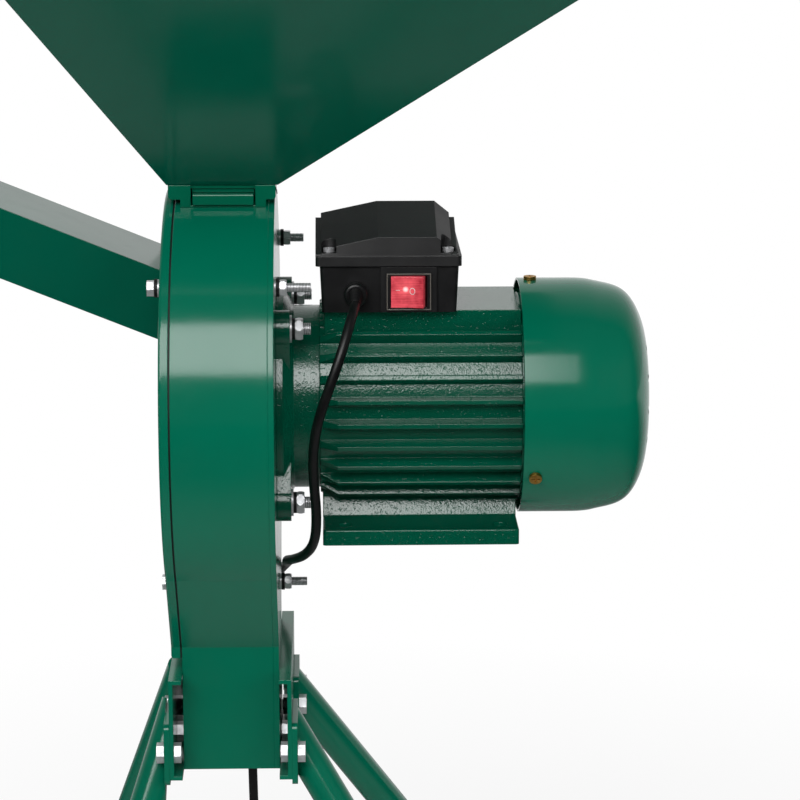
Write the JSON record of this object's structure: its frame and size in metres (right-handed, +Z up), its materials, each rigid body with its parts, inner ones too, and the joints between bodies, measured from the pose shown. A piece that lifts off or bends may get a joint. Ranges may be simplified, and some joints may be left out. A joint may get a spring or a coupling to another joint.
{
  "type": "electric grain mill",
  "caption": "Hammer mill for grain: round drum with hopper, slide gate and side feed, flanged electric motor, lit switch and four-legged stand.",
  "frame": {"origin": "on the floor, midway between the feed chute's mouth and the fan cowl's end, in the middle of the machine's width", "axes": "+X along the motor shaft towards the fan cowl, -Y towards the side with the switch, +Z up"},
  "size_m": [0.4698, 0.4502, 0.9095],
  "materials": {
    "green_sheet": "smooth satin gloss",
    "green_casting": "thick wrinkled paint",
    "zinc": "zinc plated",
    "bare_steel": "machined",
    "spring_rubber": "matte",
    "foot_rubber": "matte",
    "brass_zinc": "yellow zinc",
    "box_plastic": "fine grained",
    "switch_plastic": "smooth",
    "switch_red": "translucent, lit",
    "copper": "varnished wire",
    "lamination": "stacked sheet",
    "cast_aluminium": "as cast",
    "fan_plastic": "moulded",
    "pale_plastic": "moulded",
    "cord_black": "smooth sheath",
    "plug_black": "moulded"
  },
  "bodies": {
    "frame": {"box_base": "switch_plastic", "box_lid": "box_plastic", "cable_gland": "plug_black", "capacitor": "cast_aluminium", "cord_clip": "zinc", "cord_coil": "cord_black", "cord_lead": "cord_black", "cord_tail": "cord_black", "cord_tie": "switch_plastic", "cover_bolts": "zinc", "cover_gasket": "spring_rubber", "cover_nuts": "zinc", "cover_spring_washers": "spring_rubber", "cover_washers": "zinc", "cowl_screws": "brass_zinc", "fan_cowl": "green_sheet", "feed_chute": "green_sheet", "flange_bolts": "zinc", "flange_nuts": "zinc", "flange_spring_washers": "spring_rubber", "flange_washers": "zinc", "front_bearing": "bare_steel", "front_channel": "green_sheet", "front_cover": "green_sheet", "front_endshield": "green_casting", "gate_guide": "green_sheet", "hopper": "green_sheet", "hopper_screws": "zinc", "leg_bolts": "zinc", "leg_front_far": "green_sheet", "leg_front_near": "green_sheet", "leg_nuts": "zinc", "leg_rear_far": "green_sheet", "leg_rear_near": "green_sheet", "lid_screws": "zinc", "mains_plug": "plug_black", "mill_drum": "green_sheet", "motor_frame": "green_casting", "rear_bearing": "bare_steel", "rear_channel": "green_sheet", "rear_endshield": "green_casting", "rear_plate": "green_sheet", "rubber_feet": "foot_rubber", "sieve_screen": "bare_steel", "stator_core": "lamination", "stator_winding": "copper", "switch_frame": "switch_plastic", "terminal_block": "pale_plastic"},
    "rotor": {"motor_shaft": "bare_steel", "rotor_core": "cast_aluminium", "beater_hub": "bare_steel", "hub_key": "bare_steel", "beater_blades": "bare_steel", "hub_washer": "zinc", "hub_nut": "zinc", "cooling_fan": "fan_plastic"},
    "gate": {"slide_gate": "zinc"},
    "rocker": {"rocker": "switch_red"}
  },
  "joints": [
    {"name": "rotor_spin", "type": "hinge", "parent": "frame", "child": "rotor", "pos_m": [-0.0276, 0, 0.55], "axis": [1, 0, 0], "continuous": true},
    {"name": "gate_slide", "type": "slide", "parent": "frame", "child": "gate", "axis": [0, -1, 0], "range_m": [0, 0.07]},
    {"name": "rocker_tilt", "type": "hinge", "parent": "frame", "child": "rocker", "pos_m": [0.065, -0.0471, 0.6362], "axis": [0, 0, 1], "range_deg": [0, 15]}
  ]
}
